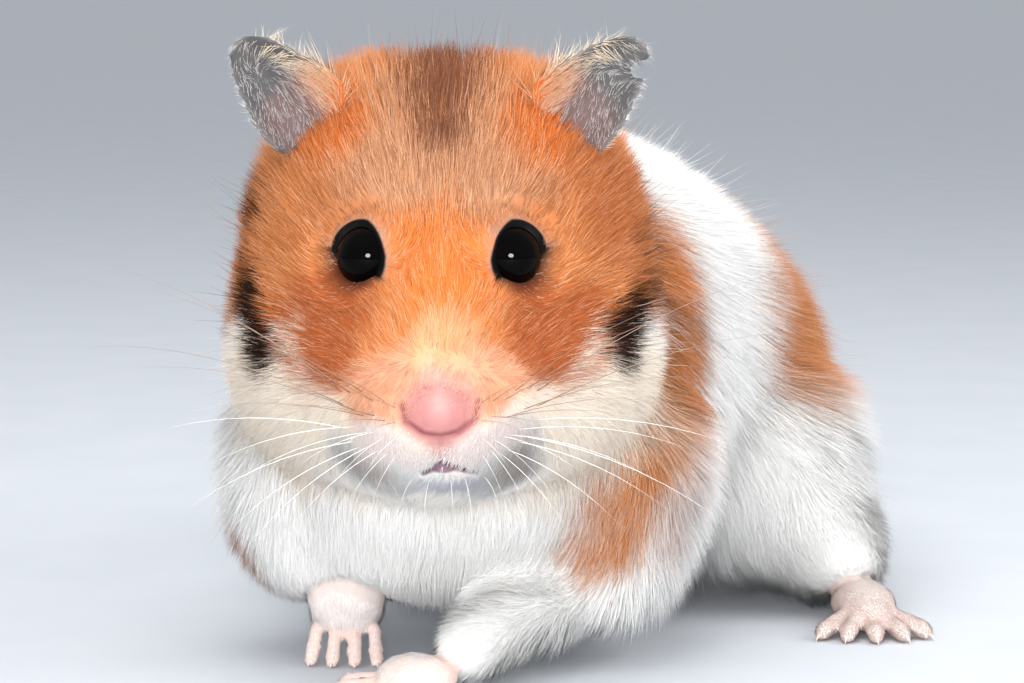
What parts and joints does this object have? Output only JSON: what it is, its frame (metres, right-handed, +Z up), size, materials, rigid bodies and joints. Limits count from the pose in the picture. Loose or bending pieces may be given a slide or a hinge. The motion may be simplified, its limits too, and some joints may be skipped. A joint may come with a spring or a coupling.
{
  "type": "syrian hamster",
  "caption": "Life-size crouching Syrian hamster, head turned to the front, orange and white coat, one forepaw held up.",
  "frame": {"origin": "on the floor, under the middle of the animal's box", "axes": "+Z up, -Y the way the head faces, +X the animal's left"},
  "size_m": [0.0874, 0.122, 0.0746],
  "materials": {
    "coat_orange": "soft orange fur with dark, cream and white markings",
    "coat_white": "soft white fur with an orange rump and shoulder",
    "ear_skin": "thin grey skin with fine pale hairs",
    "paw_skin": "pink creased skin",
    "nose_skin": "moist pink skin",
    "eye_black": "wet gloss black"
  },
  "bodies": {
    "root": {"head": "coat_orange", "neck": "coat_orange", "trunk": "coat_white", "foreleg_left": "coat_white", "foreleg_right": "coat_white", "hindleg_left": "coat_white", "hindleg_right": "coat_white", "forepaw_left": "paw_skin", "forepaw_right": "paw_skin", "hindfoot_left": "paw_skin", "hindfoot_right": "paw_skin", "tail": "paw_skin", "ear_left": "ear_skin", "ear_right": "ear_skin", "nose": "nose_skin", "eye_left": "eye_black", "eye_right": "eye_black"}
  },
  "joints": []
}
